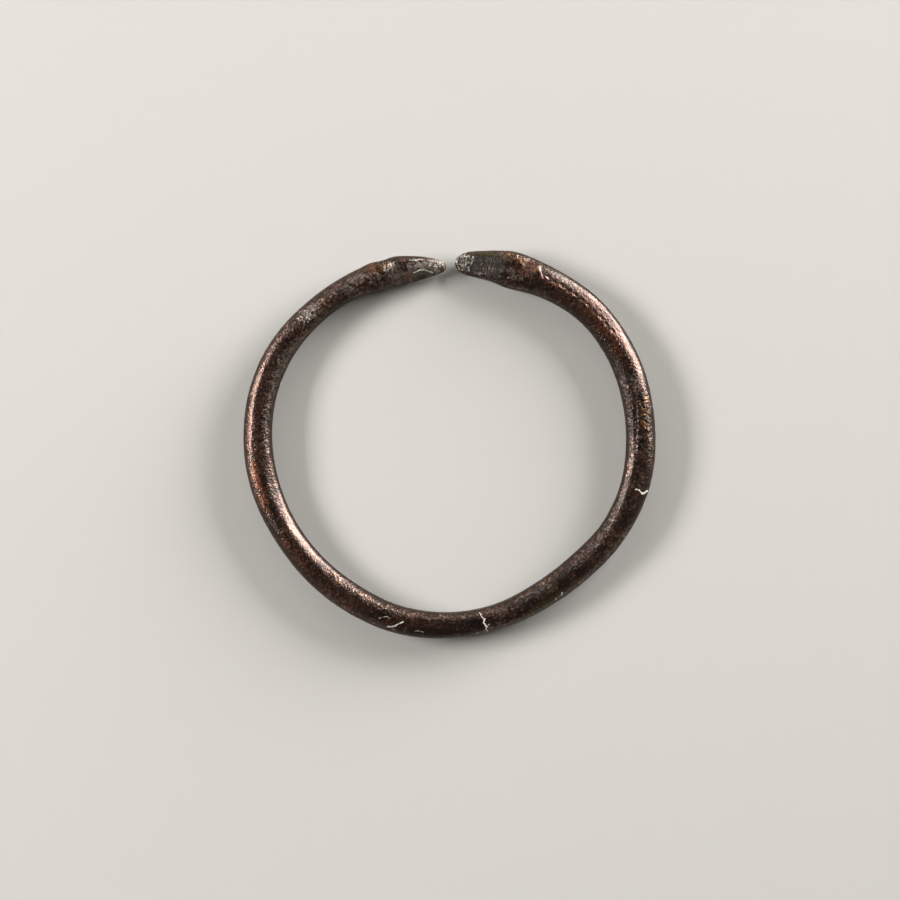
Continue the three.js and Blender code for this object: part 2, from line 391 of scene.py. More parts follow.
DENTS = [
    # along, across, half length, half breadth, depth; a depth below zero is a lump
    # the row of small dents along the upper right, and a lump beside it
    (154.8, 0.62, 0.55, 0.32, 0.055), (156.1, 0.42, 0.6, 0.32, 0.07),
    (157.5, 0.5, 0.65, 0.33, 0.07), (158.9, 0.32, 0.6, 0.34, 0.075),
    (160.2, 0.45, 0.55, 0.33, 0.075), (161.5, 0.3, 0.55, 0.33, 0.07),
    (162.7, 0.48, 0.55, 0.33, 0.085), (163.9, 0.42, 0.55, 0.36, 0.085),
    (165.2, 0.7, 0.6, 0.36, 0.09), (166.5, 0.52, 0.55, 0.38, 0.09),
    (167.7, 0.85, 0.5, 0.4, 0.085), (162.0, -1.1, 0.4, 0.35, -0.05),
    # the right head: lip of the neck, hollow behind the brow, brow, hollow of the cheek
    (169.8, 1.1, 0.45, 1.2, -0.13), (171.2, 1.3, 0.9, 0.95, 0.17), (171.9, -0.1, 1.2, 0.8, 0.07),
    (173.6, 1.7, 0.8, 0.9, -0.06), (175.1, 2.3, 0.8, 0.5, -0.06), (173.6, -1.2, 1.3, 0.7, 0.06),
    (170.2, -0.9, 1.0, 0.6, 0.05),
    # the left head: pits, the bulge behind the eye, hollows of the neck
    (9.0, -0.4, 0.5, 0.45, 0.07), (7.2, 0.2, 0.9, 0.5, 0.05), (11.4, 1.0, 0.6, 0.5, 0.09),
    (13.1, 0.3, 0.6, 0.6, 0.06), (15.4, -0.2, 0.8, 0.6, 0.05), (6.2, -0.9, 0.7, 0.4, 0.05),
    (8.1, 1.5, 0.5, 0.6, 0.04), (10.1, 1.6, 0.7, 0.7, -0.09), (11.5, 0.8, 0.35, 0.3, -0.09),
    (12.2, 0.35, 0.35, 0.3, -0.09), (12.9, 0.6, 0.4, 0.3, -0.07), (14.2, 0.7, 0.5, 0.5, -0.05),
    (4.6, 1.25, 0.9, 0.3, -0.07),
    # the hoop: hollows of the crusts, single pits and a nick
    (139.3, 0.3, 0.5, 0.45, 0.03), (141.2, 1.1, 0.6, 0.5, 0.035), (142.8, 0.4, 0.6, 0.4, 0.03),
    (143.8, 1.3, 0.5, 0.5, 0.035), (119.8, 1.1, 0.3, 0.3, 0.05), (36.5, -1.4, 0.35, 0.25, -0.03),
]

PITTED = [
    # along, across, half length, half breadth, share: places that corrosion left rougher
    (141.6, 0.9, 4.0, 1.8, 1.0), (140.0, -0.9, 5.5, 0.7, 1.0), (12.2, 0.7, 2.6, 1.5, 1.0),
    (23.3, 0.2, 1.8, 1.6, 1.0),
]

CREASES = [
    # half width, depth, then a path of (along, across); a depth below zero is a ridge
    (0.3, 0.055, [(135.4, -0.95), (138.0, -0.8), (141.0, -0.6), (143.4, -0.4), (145.6, -0.15)]),
    (0.17, -0.09, [(8.7, 0.3), (9.2, 0.9), (9.0, 1.5), (9.4, 2.1)]),
    (0.14, -0.06, [(9.5, 0.45), (9.9, 0.9), (9.7, 1.5)]),
    (
        0.13, -0.08,
        [(2.0, -0.95), (2.7, -0.6), (3.5, -0.4), (4.2, -0.45), (4.9, -0.75), (5.1, -1.2)],
    ),
    (0.14, -0.06, [(172.1, 1.2), (172.5, 1.3), (172.6, 1.9)]),
    (0.24, -0.11, [(168.7, 0.3), (169.2, 0.9), (169.8, 1.7)]),
]

STREAKS_AND_HIGHLIGHTS = [
    # width share, strength, then the path of (along, across) of each white streak; two on the left
    # head are partly painted highlights
    # on the low side of the hoop
    (0.7, 0.5, [(80.2, 0.8), (80.7, 0.3), (81.3, 0.0), (81.9, 0.15)]),
    (0.9, 0.8, [(81.9, 1.5), (82.7, 1.2), (83.3, 0.6), (83.9, 0.1)]),
    (0.9, 0.6, [(82.4, 1.15), (83.0, 1.05)]),
    (0.7, 0.5, [(86.0, 1.15), (86.6, 1.0), (87.2, 1.2)]),
    (0.7, 0.6, [(95.1, 1.85), (95.4, 1.7)]),
    (1.2, 1.0, [(96.85, 1.8), (96.75, 1.3), (96.9, 0.95), (96.5, 0.3), (96.8, -0.25)]),
    (0.8, 0.7, [(96.8, -0.25), (96.45, -0.75), (96.3, -1.35)]),
    (0.6, 0.6, [(96.9, 0.9), (97.5, 0.7)]),
    (0.7, 0.5, [(108.1, 1.75), (108.2, 1.45)]),
    (0.8, 0.8, [(109.2, 1.6), (109.5, 1.3)]),
    (0.7, 0.5, [(122.0, 2.1), (122.2, 1.9)]),
    # on the right side
    (1.4, 0.85, [(129.5, 2.1), (128.85, 1.5), (129.0, 1.2)]),
    (1.0, 0.8, [(129.0, 1.2), (129.35, 0.7), (129.2, 0.25)]),
    # on the left side, and in the crust above it
    (0.7, 0.4, [(36.2, -1.5), (36.9, -1.15)]),
    (1.0, 0.3, [(22.4, 1.4), (22.9, 0.8)]), (1.1, 0.35, [(23.0, 0.6), (23.6, -0.2), (24.0, -1.2)]),
    (1.0, 0.3, [(24.6, 0.9), (23.8, 0.3)]), (0.9, 0.3, [(23.3, -0.1), (22.6, -0.3)]),
    (0.9, 0.35, [(21.8, 0.6), (22.8, 0.1), (23.9, -0.6)]), (0.9, 0.3, [(23.6, 1.1), (24.4, -0.4)]),
    (0.8, 0.3, [(22.2, 0.9), (23.2, 1.0)]), (0.8, 0.3, [(23.1, -0.7), (24.1, -0.5)]),
    # on the left head, where the scoop's rim and the upper edge carry painted highlights over lime,
    # and one on the right
    (0.95, 0.7, [(2.0, -0.95), (2.7, -0.6), (3.5, -0.4), (4.2, -0.45), (4.9, -0.75)]),
    (1.2, 0.55, [(3.9, 1.25), (4.5, 1.1), (5.3, 1.35)]),
    (0.7, 0.4, [(8.9, 1.7), (9.15, 1.0), (9.5, 0.5)]), (0.7, 0.35, [(9.3, 0.6), (8.6, 0.5)]),
    (0.8, 0.3, [(177.4, -1.5), (178.3, -1.6)]),
]

SPOTS = {
    # along, across, half length, half breadth, strength
    # dark: painted shade on the crown, the flanks and beside the highlights, where the bar is made
    # darker and duller
    "dark": [
        (64.0, 1.6, 11.0, 0.8, 0.9), (89.0, 1.3, 8.0, 1.1, 0.9), (110.0, 0.9, 9.0, 0.7, 0.6),
        (128.0, 1.5, 8.0, 0.9, 0.7), (128.0, 0.2, 8.0, 0.6, 0.5), (155.0, -1.5, 13.0, 0.8, 0.9),
        (40.0, -0.1, 12.0, 0.5, 0.4), (155.0, -0.3, 9.0, 0.4, 0.4), (18.0, -1.4, 6.0, 0.7, 0.6),
        (128.0, -1.1, 8.0, 0.7, 0.6), (110.0, -0.8, 11.0, 0.9, 0.75), (38.0, -1.5, 9.0, 0.6, 0.4),
        (141.0, 0.9, 3.6, 1.2, 0.45), (171.7, 1.1, 1.3, 1.2, 0.95), (171.0, -1.6, 4.0, 0.7, 0.6),
        (142.0, -1.35, 7.0, 0.8, 0.75), (152.0, -0.7, 11.0, 0.9, 0.7),
    ],
    "russet": [
        (45.0, 0.4, 24.0, 1.4, 0.4), (70.0, 0.6, 16.0, 1.4, 0.4), (158.0, 0.0, 12.0, 1.8, 0.4),
        (171.0, 0.6, 3.0, 2.0, 0.4), (171.6, 0.1, 1.3, 0.9, 0.55), (12.0, 0.8, 5.0, 1.4, 0.4),
        (85.0, -0.3, 10.0, 1.0, 0.35),
    ],
    "cuprite": [
        (50.6, 0.95, 3.6, 0.75, 0.55), (54.6, 0.6, 2.4, 1.0, 0.4), (170.9, 1.9, 1.1, 0.6, 0.35),
        (167.0, 0.0, 1.4, 0.6, 0.35), (173.8, 1.2, 1.1, 0.6, 0.3), (64.0, 0.4, 5.0, 1.0, 0.3),
        (5.9, 1.6, 0.9, 0.5, 0.3), (11.4, 1.1, 0.9, 0.6, 0.45), (149.5, 0.2, 1.0, 0.4, 0.35),
        (157.0, -0.2, 8.0, 0.7, 0.3),
    ],
    "film": [
        (4.3, 0.0, 2.6, 1.6, 0.5), (1.8, 0.2, 2.2, 1.4, 0.6), (3.6, 0.35, 1.9, 0.7, 0.7),
        (1.0, 0.8, 1.2, 0.5, 0.8), (166.0, 1.7, 3.0, 0.7, 0.45), (172.6, -0.6, 2.0, 1.2, 0.35),
        (7.6, 0.5, 1.3, 1.2, 0.5), (7.6, -0.7, 0.7, 0.6, 0.6), (8.0, -0.3, 2.4, 1.4, 0.45),
        (11.2, 0.1, 1.5, 1.2, 0.4), (13.8, 0.6, 1.8, 1.2, 0.45), (12.4, 0.7, 0.9, 0.7, 0.35),
        (15.6, -0.2, 2.0, 1.1, 0.45), (22.8, 0.2, 3.0, 1.5, 0.45), (18.5, 0.0, 2.0, 1.2, 0.3),
        (99.5, -0.5, 1.8, 0.8, 0.28), (106.0, -1.0, 5.0, 0.8, 0.28), (115.5, -0.8, 5.0, 0.7, 0.28),
        (126.0, -1.3, 5.0, 0.6, 0.3), (146.0, 0.3, 2.2, 0.9, 0.35), (32.0, -1.0, 7.0, 1.0, 0.4),
        (40.0, -1.0, 14.0, 0.9, 0.3),
    ],
    "olive": [
        # the strong spot at 3.6 along is partly olive bloom and partly painted shade in the left
        # head's scoop
        (107.0, 1.35, 7.5, 0.75, 0.5), (178.0, 1.75, 3.2, 0.5, 0.75), (3.6, -1.1, 1.6, 0.6, 0.8),
        (120.0, 1.2, 2.0, 0.7, 0.3), (88.0, 1.7, 4.0, 0.6, 0.3), (32.0, -1.2, 6.0, 0.8, 0.3),
        (131.5, 0.3, 0.6, 0.5, 0.4),
    ],
    "ochre": [
        (139.3, 0.3, 0.95, 0.7, 0.8), (142.3, 1.0, 2.5, 1.2, 0.55), (10.0, 1.4, 2.0, 1.0, 0.65),
        (174.4, 2.0, 1.6, 0.8, 0.65), (134.0, 0.6, 1.6, 0.6, 0.3), (19.6, 0.3, 1.6, 0.7, 0.3),
        (73.0, 0.3, 0.5, 0.4, 0.45), (162.0, -1.1, 0.45, 0.4, 1.0), (131.5, 0.3, 0.4, 0.4, 0.4),
        (67.0, 1.0, 2.0, 0.5, 0.25), (8.6, 1.5, 0.9, 0.7, 0.45), (170.2, 1.1, 0.7, 0.9, 0.8),
        (172.4, 1.6, 0.8, 0.6, 0.5),
    ],
    "lime": [
        (0.8, 0.15, 1.5, 1.2, 0.6), (2.4, 0.9, 1.2, 0.3, 0.35), (9.2, 0.9, 0.5, 0.9, 0.35),
        (181.0, 0.1, 1.9, 1.6, 0.5), (178.6, -1.5, 1.0, 0.3, 0.4), (13.6, 0.7, 1.2, 0.8, 0.28),
        (15.5, -0.2, 1.6, 0.8, 0.28), (12.4, 0.7, 0.6, 0.4, 0.3), (23.2, 0.2, 2.0, 1.5, 0.36),
    ],
}

WORN = [
    # along, across, half length, half breadth, share: where wear has rubbed the metal smoother
    (60.0, -1.4, 14.0, 1.2, 0.7), (157.0, 1.4, 14.5, 0.9, 0.7), (166.8, 1.7, 2.6, 0.8, 0.7),
    (40.0, 1.1, 8.0, 0.5, 0.2),
]
RUBBED_AWAY = 0.75  # share of the relief that rubbing and filing took off

# How ragged the edges of the layers are
RAGGED, LESS_RAGGED = 0.7, 0.4
LESS_RAGGED_LAYERS = ("film", "russet")

# How strongly each of these shows, 0 to 1
CURLS, FILED, FILM_IN_STROKES = 0.5, 0.7, 0.55
# DARK_FLANK is how strong the painted shade on the flanks is
DARK_FLANK, FILM_BELOW, EARTH_BELOW = 0.65, 0.3, 0.24

# Sizes in millimetres of the noise that breaks up the deposits
EDGE_NOISE, SPECKS, LUMPS, FILM_PATCHES, EARTH_PATCHES = 0.7, 0.42, 0.45, 2.6, 1.8

# How far creases and streaks wander from their paths, and over what length, in millimetres
CREASE_WANDER, CREASE_BEND = 0.08, 0.7
STREAK_WANDER, STREAK_BEND = 0.06, 0.4


class BRACELET_OT_skin(bpy.types.Operator):
    """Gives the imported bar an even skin, finer where the heads and the streaks need it"""

    bl_idname = "bracelet.skin"
    bl_label = "Bar skin"
    WELD = 0.001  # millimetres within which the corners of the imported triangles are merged

    # Where the mesh is finer, in millimetres
    HEADS_ABOVE = 1.3  # height from which the heads are finely meshed
    CROWN, CROWN_REACH = 0.4, 1.7  # middle and reach across of the finely meshed strips
    STREAK_REACHES = (0.45, 0.24)  # to each side of a streak, for the first and second halving
    PANEL_ABOVE = 0.6  # over the bar's middle, where the filed face is meshed finest

    def execute(self, context):
        settings = context.scene.bracelet_skin
        piece = bpy.data.objects.new(PIECE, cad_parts[NODE].data.copy())
        context.scene.collection.objects.link(piece)
        piece.data.materials.clear()
        alone(piece)
        bpy.ops.object.mode_set(mode="EDIT")
        bpy.ops.mesh.select_all(action="SELECT")
        bpy.ops.mesh.remove_doubles(threshold=self.WELD * MM)
        bpy.ops.object.mode_set(mode="OBJECT")
        finish_with(piece, "REMESH", "even_skin", mode="VOXEL", voxel_size=settings.voxel)
        along, _, _ = BAR.places(coordinates(piece))
        into_hoop = smooth_step(*HEAD_FADE, np.minimum(along, BAR.length - along))
        group = weigh(piece, "hoop", into_hoop)
        finish_with(
            piece, "SMOOTH", "soften_hoop", factor=0.5, iterations=settings.soften, vertex_group=group
        )
        finish_with(
            piece, "SMOOTH", "soften_heads", factor=0.5, iterations=settings.soften_heads,
            vertex_group=group, invert_vertex_group=True,
        )
        piece.vertex_groups.clear()
        self.refine(piece)
        bpy.ops.object.shade_smooth()
        return {"FINISHED"}

    def refine(self, piece):
        """Halves the mesh step on the marked parts of the upper side, and again on the finest."""
        first, second = self.STREAK_REACHES
        along, across, up = face_places(piece, BAR)
        heads = (np.minimum(along, BAR.length - along) < FINE_HEAD) & (up > self.HEADS_ABOVE)
        marked = np.any([np.abs(along - place) < reach for place, reach in FINE_PARTS], axis=0)
        near = marked & (np.abs(across - self.CROWN) < self.CROWN_REACH) & (up > BAR.MIDDLE)
        streaks = (self.to_streaks(along, across) < first) & (up > BAR.MIDDLE)
        split_faces(piece, heads | near | streaks, soften=3)
        along, across, up = face_places(piece, BAR)
        streaks = (self.to_streaks(along, across) < second) & (up > BAR.MIDDLE)
        filed = (along > PANEL[0]) & (along < PANEL[1]) & (up > BAR.MIDDLE + self.PANEL_ABOVE)
        split_faces(piece, streaks | filed, soften=1)

    def to_streaks(self, along, across):
        """Distance of each place to the nearest streak."""
        return np.min([distance_to_path(along, across, path) for _, _, path in STREAKS_AND_HIGHLIGHTS], axis=0)


class BRACELET_OT_marks(bpy.types.Operator):
    """Shapes the marks of hammer, file and corrosion in the skin"""

    bl_idname = "bracelet.marks"
    bl_label = "Hammer and file marks"
    UPPER = (0.0, 0.35)  # upward share of the normal where the marks start and where they are full
    STROKE_ENDS = (1.0, 0.6)  # where a shoulder's stroke ends and is full, as shares of its half
    DENT_EDGE = (1.25, 0.3)  # the same for a dent
    CREASE_EDGE = (1.6, 0.2)  # the same for a crease, in its half widths

    def execute(self, context):
        settings = context.scene.bracelet_skin
        piece = bpy.data.objects[PIECE]
        self.hammer(piece, settings)
        points, facing = coordinates(piece), normals(piece)
        along, across, up = BAR.places(points)
        on_top = smooth_step(*self.UPPER, facing[:, 2])
        sink = self.shoulders(along, across, up)
        sink += on_top * self.dents(along, across)
        sink += on_top * self.creases(along, across, points)
        sink += on_top * self.pits(along, across, points, settings)
        sink += self.file_marks(along, across, facing, settings)
        points -= facing * sink[:, None]
        points[:, 2] = np.maximum(points[:, 2], 0.0)
        put_back(piece, points)
        return {"FINISHED"}

    def hammer(self, piece, settings):
        """Broad marks, dimples and grain, each from its own procedural texture."""
        along, across, _ = BAR.places(coordinates(piece))
        rubbed = np.maximum(patches(along, across, WORN), filed_face(along, normals(piece)))
        group = weigh(piece, "not_rubbed", 1 - RUBBED_AWAY * rubbed)
        for name, size, depth in (
            ("hammer", settings.hammer_size, settings.hammer_depth),
            ("dimples", settings.dimple_size, settings.dimple_depth),
            ("grain", settings.grain_size, settings.grain_depth),
        ):
            texture = bpy.data.textures.new(name, "CLOUDS")
            texture.noise_scale = size
            finish_with(
                piece, "DISPLACE", name, texture=texture, texture_coords="LOCAL", strength=depth,
                mid_level=0.5, direction="NORMAL", vertex_group=group,
            )
        piece.vertex_groups.clear()

    def shoulders(self, along, across, up):
        """Long strokes that flatten the bar's shoulders, and the low crests left on them."""
        around, sink = BAR.around(across, up), np.zeros(len(along))
        for place, half_length, middle, spread, depth in SHOULDERS:
            lengthwise = smooth_step(*self.STROKE_ENDS, np.abs(along - place) / half_length)
            sink += depth * lengthwise * smooth_step(1.0, 0.0, np.abs(around - middle) / spread)
        return sink

    def dents(self, along, across):
        """Dents with a soft rim, and lumps."""
        sink = np.zeros(len(along))
        for place, side, half_length, half_breadth, depth in DENTS:
            far = np.hypot((along - place) / half_length, (across - side) / half_breadth)
            sink += depth * smooth_step(*self.DENT_EDGE, far)
        return sink

    def creases(self, along, across, points):
        """Creases and ridges that wander a little from their paths."""
        sink = np.zeros(len(along))
        wander = CREASE_WANDER * rough(points, CREASE_BEND, octaves=2, seed=4)
        for half_width, depth, path in CREASES:
            far = distance_to_path(along + wander, across + wander, path) / half_width
            sink += depth * smooth_step(*self.CREASE_EDGE, far)
        return sink

    def pits(self, along, across, points, settings):
        """Close small pits in the places that corrosion left rougher."""
        return patches(along, across, PITTED) * settings.pit_depth / MM * rough(
            points, settings.pit_size / MM, octaves=2, seed=17
        )

    def file_marks(self, along, across, facing, settings):
        """File strokes on the right head's panel: most run over it, fewer along it."""
        strokes = file_strokes(along, across, settings.file_step / MM)
        return filed_face(along, facing) * settings.file_depth / MM * strokes


class BRACELET_OT_deposits(bpy.types.Operator):
    """Lays lime, earth and bloom on the skin, with their own height, and marks the painted shade and
    highlights
    """

    bl_idname = "bracelet.deposits"
    bl_label = "Deposits"

    # Where each mask starts and where it is full
    UPPER = (-0.15, 0.2)  # by the upward share of the normal, for all that lies on top
    FLANK = (0.74, 0.5)  # by the same, from the crown down to the flank
    BELOW = (0.4, 0.0)  # by the same, from the flank down to the underside
    CRUSTED = (0.1, 0.4)  # by the strength of the lime that the curls lie in
    SPECKLED = (-0.1, 0.25)  # by noise, for the specks that the earth and the lime break into
    STROKES = (0.0, 0.5)  # by the height of the file's strokes
    STREAK_EDGE = (1.6, 0.5)  # by the distance from a streak's path, in its half widths
    SNOUT = (5.5, 4.5)  # by the distance from a head's tip, in millimetres
    RIDGE = (0.16, 0.03)  # by the height of a wave, which leaves thin ridges along its zeros
    FILMED, EARTHED = (0.0, 0.5), (0.1, 0.6)  # by noise, for the patches on flanks and underside

    WORN_RAGGED, FLANK_RAGGED = 0.3, 0.2  # how much noise tears the edges of these two masks
    UNEVEN, THINNEST = 0.7, 0.2  # shares of a streak's width: how far it swings, and the least
    UNEVEN_STEP = 0.35  # millimetres over which that width changes
    LUMP_MEAN, LUMP_SWING = 0.6, 0.8  # shares of the height of lime and earth
    CURL_RISE = 1.5  # height of the curls, as a share of the streaks' height

    def execute(self, context):
        settings = context.scene.bracelet_deposits
        piece = bpy.data.objects[PIECE]
        points, facing = coordinates(piece), normals(piece)
        along, across, _ = BAR.places(points)
        ragged = rough(points, EDGE_NOISE, octaves=4, seed=1)
        masks = self.torn_patches(along, across, facing, ragged)
        curls = self.curls(along, points, settings) * smooth_step(*self.CRUSTED, masks["lime"])
        specks = smooth_step(*self.SPECKLED, rough(points, SPECKS, octaves=3, seed=13))
        for name in ("ochre", "lime"):
            masks[name] *= specks
        streaks = self.streaks(along, across, points, settings)
        masks["streak"] = np.maximum(self.on_top(facing) * streaks, CURLS * curls)
        strokes = file_strokes(along, across, context.scene.bracelet_skin.file_step / MM)
        panel = filed_face(along, facing, ragged)
        masks["filed"] = FILED * panel
        masks["film"] += FILM_IN_STROKES * panel * smooth_step(*self.STROKES, strokes)
        masks["worn"] = np.maximum(panel, patches(along, across, WORN, self.WORN_RAGGED * ragged))
        self.flanks(masks, points, facing, ragged)
        self.raise_deposits(piece, points, facing, masks, curls, settings)
        for name, mask in masks.items():
            paint(piece, name, mask)
        return {"FINISHED"}

    def on_top(self, facing):
        """1 where the skin faces up, 0 where it faces down."""
        return smooth_step(*self.UPPER, facing[:, 2])

    def torn_patches(self, along, across, facing, ragged):
        """The layers that lie in patches, each with torn edges."""
        masks = {}
        for name, spots in SPOTS.items():
            tear = ragged * (LESS_RAGGED if name in LESS_RAGGED_LAYERS else RAGGED)
            masks[name] = self.on_top(facing) * patches(along, across, spots, tear)
        return masks

    def streaks(self, along, across, points, settings):
        """Thin streaks of uneven width; on the left head's scoop rim and upper edge they are partly
        painted highlights.
        """
        mask, width = np.zeros(len(along)), settings.streak_width / MM / 2
        wander = STREAK_WANDER * rough(points, STREAK_BEND, octaves=2, seed=3)
        uneven = 1.0 + self.UNEVEN * rough(points, self.UNEVEN_STEP, octaves=2, seed=5)
        uneven = np.maximum(uneven, self.THINNEST)
        for share, strength, path in STREAKS_AND_HIGHLIGHTS:
            far = distance_to_path(along + wander, across - wander, path) / (width * share)
            mask = np.maximum(mask, strength * smooth_step(*self.STREAK_EDGE, far / uneven))
        return mask

    def curls(self, along, points, settings):
        """Thin curly ridges in the crust on the two snouts."""
        on_snout = smooth_step(*self.SNOUT, np.minimum(along, BAR.length - along))
        wave = rough(points, settings.curl_size / MM, octaves=2, seed=21)
        return on_snout * smooth_step(*self.RIDGE, np.abs(wave))

    def flanks(self, masks, points, facing, ragged):
        """Painted shade, laid as dark oxide, on the flanks, with thin films and earth on them and on
        the underside.
        """
        flank = smooth_step(*self.FLANK, facing[:, 2] + self.FLANK_RAGGED * ragged)
        masks["dark"] = np.maximum(masks["dark"], DARK_FLANK * flank)
        below = smooth_step(*self.BELOW, facing[:, 2])
        film = smooth_step(*self.FILMED, rough(points, FILM_PATCHES, octaves=5, seed=11))
        earth = smooth_step(*self.EARTHED, rough(points, EARTH_PATCHES, octaves=5, seed=12))
        masks["film"] = np.maximum(masks["film"], FILM_BELOW * below * film)
        masks["ochre"] = np.maximum(masks["ochre"], EARTH_BELOW * below * earth)

    def raise_deposits(self, piece, points, facing, masks, curls, settings):
        """Lifts the skin by the height of what lies on it, and never below the floor."""
        lumps = self.LUMP_MEAN + self.LUMP_SWING * rough(points, LUMPS, octaves=3, seed=2)
        rise = masks["lime"] * settings.lime_height * lumps
        rise += masks["ochre"] * settings.ochre_height * lumps
        rise += (masks["streak"] + self.CURL_RISE * curls) * settings.streak_height
        points += facing * rise[:, None] / MM
        points[:, 2] = np.maximum(points[:, 2], 0.0)
        put_back(piece, points)


class BRACELET_OT_patina(bpy.types.Operator):
    """Colours the skin: brown patina over copper, rubbed bare on the crown, with its deposits and the
    painted shade and highlights
    """

    bl_idname = "bracelet.patina"
    bl_label = "Patina"

    def execute(self, context):
        piece = bpy.data.objects[PIECE]
        piece.data.materials.append(patinated_copper(context.scene.bracelet_colours))
        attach(piece, "root")
        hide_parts(NODE)
        return {"FINISHED"}


def add(tree, kind, sockets=None, **settings):
    """Adds a node with its settings; a socket takes a value, a node, or a node and its output."""
    made = tree.nodes.new(kind)
    for key, value in settings.items():
        setattr(made, key, value)
    for key, value in (sockets or {}).items():
        if isinstance(value, bpy.types.Node):
            value = (value, 0)
        if isinstance(value, tuple) and isinstance(value[0], bpy.types.Node):
            tree.links.new(value[0].outputs[value[1]], made.inputs[key])
        else:
            made.inputs[key].default_value = value
    return made


def rgba(values):
    """A colour with full alpha."""
    return (*values, 1.0)


def mix_colours(tree, share, first, second):
    """A mix node between two colours, with the number of its colour output."""
    return (add(tree, "ShaderNodeMix", {0: share, 6: first, 7: second}, data_type="RGBA"), 2)


def mix_values(tree, share, first, second):
    """A mix node between two values."""
    return add(tree, "ShaderNodeMix", {0: share, 2: first, 3: second})


# The bare patina, then the layers over it from the bottom up: how metallic, rough and waxy each is
BARE = (0.85, 0.28, 0.75)
LAYERS = (
    # dark is painted shade: darker, as well as less metallic, rougher and less waxy
    ("dark", 0.5, 0.42, 0.2),
    ("russet", 0.8, 0.3, 0.75),
    ("filed", 0.8, 0.3, 0.7),
    ("cuprite", 0.6, 0.42, 0.7),
    ("film", 0.5, 0.42, 0.6),
    ("olive", 0.5, 0.42, 0.5),
    ("ochre", 0.55, 0.38, 0.45),
    ("lime", 0.0, 0.85, 0.0),
    # streak: white lime, and painted highlights on the left head's ridges
    ("streak", 0.0, 0.85, 0.0),
)

# Dark pits and grains of bare metal: where in the grain each starts and is full, and how strong
GRAINS = (("pit", 0.66, 0.5, 0.75), ("copper", 0.72, 0.9, 0.5))
MOTTLE_SHARE = 0.4  # share of the mottle added to the grain, so that both lie in clusters

# Sizes and heights of the material's patterns, in millimetres
MOTTLE, MOTTLE_RELIEF = 1.6, 0.06
GRAIN, GRAIN_RELIEF = 0.37, 0.12

UMBER, BROWN = 0.36, 0.62  # value of the mottle where the patina is all umber, and all brown
THIN, THICK = 0.72, 1.2  # a layer's strength plus the grain, where it starts to show and covers
WAX_ROUGHNESS = 0.3
COPPERY_SHEEN = (0.6, 0.5, 0.45)  # tint of the gloss
LEFT_BY_WEAR = 0.2  # share of the grain that is left where the metal is worn


def patinated_copper(colours):
    """Forged copper that lay in the ground, cleaned and lightly waxed.

    A brown oxide skin over reddish metal: the eye gets a dark body, warm greyish highlights broken
    into sparks by the pitted grain, and dull chalky or earthy spots where the soil still clings.
    The real grain is near 0.2 mm; it is drawn at about 0.4 mm, because finer grain doesn't show.
    """
    material = bpy.data.materials.new("patinated_copper")
    material.use_nodes = True
    tree = material.node_tree
    tree.nodes.clear()
    where = (add(tree, "ShaderNodeTexCoord"), "Object")
    mottle = add(
        tree, "ShaderNodeTexNoise",
        {"Vector": where, "Scale": 1 / (MOTTLE * MM), "Detail": 5.0, "Roughness": 0.62},
    )
    fine = add(
        tree, "ShaderNodeTexNoise",
        {"Vector": where, "Scale": 1 / (GRAIN * MM), "Detail": 2.0, "Roughness": 0.6},
    )
    worn = add(tree, "ShaderNodeAttribute", attribute_name="worn")
    left = add(
        tree, "ShaderNodeMapRange", {"Value": (worn, "Fac"), "To Min": 1.0, "To Max": LEFT_BY_WEAR}
    )
    base = bare_patina(tree, mottle, fine, left, colours)
    base, metal, roughness, wax = lay_over(tree, base, fine, colours)
    bump = add(
        tree, "ShaderNodeBump", {"Height": mottle, "Strength": left, "Distance": MOTTLE_RELIEF * MM}
    )
    bump = add(
        tree, "ShaderNodeBump",
        {"Height": fine, "Strength": left, "Distance": GRAIN_RELIEF * MM, "Normal": bump},
    )
    shader = add(
        tree, "ShaderNodeBsdfPrincipled",
        {"Base Color": base, "Metallic": metal, "Roughness": roughness, "Normal": bump,
         "Coat Weight": wax, "Coat Roughness": WAX_ROUGHNESS, "Coat Normal": bump,
         "Specular Tint": rgba(COPPERY_SHEEN)},
    )
    add(tree, "ShaderNodeOutputMaterial", {"Surface": shader})
    return material


def bare_patina(tree, mottle, fine, left, colours):
    """Brown patina in uneven patches, with dark pits in clusters and grains rubbed to copper."""
    share = add(tree, "ShaderNodeMapRange", {"Value": mottle, "From Min": UMBER, "From Max": BROWN})
    height = add(
        tree, "ShaderNodeMath", {0: mottle, 1: MOTTLE_SHARE, 2: fine}, operation="MULTIPLY_ADD"
    )
    base = mix_colours(tree, share, rgba(colours.umber), rgba(colours.brown))
    for name, start, full, strength in GRAINS:
        strongest = add(tree, "ShaderNodeMath", {0: left, 1: strength}, operation="MULTIPLY")
        share = add(
            tree, "ShaderNodeMapRange",
            {"Value": height, "From Min": start, "From Max": full, "To Max": strongest},
        )
        base = mix_colours(tree, share, base, rgba(getattr(colours, name)))
    return base


def lay_over(tree, base, fine, colours):
    """The layers, each broken up by the grain where it is thin."""
    metal, roughness, wax = BARE
    for name, layer_metal, layer_rough, layer_wax in LAYERS:
        painted = add(tree, "ShaderNodeAttribute", attribute_name=name)
        cover = add(tree, "ShaderNodeMath", {0: (painted, "Fac"), 1: fine}, operation="ADD")
        share = add(
            tree, "ShaderNodeMapRange", {"Value": cover, "From Min": THIN, "From Max": THICK}
        )
        base = mix_colours(tree, share, base, rgba(getattr(colours, name)))
        metal = mix_values(tree, share, metal, layer_metal)
        roughness = mix_values(tree, share, roughness, layer_rough)
        wax = mix_values(tree, share, wax, layer_wax)
    return base, metal, roughness, wax


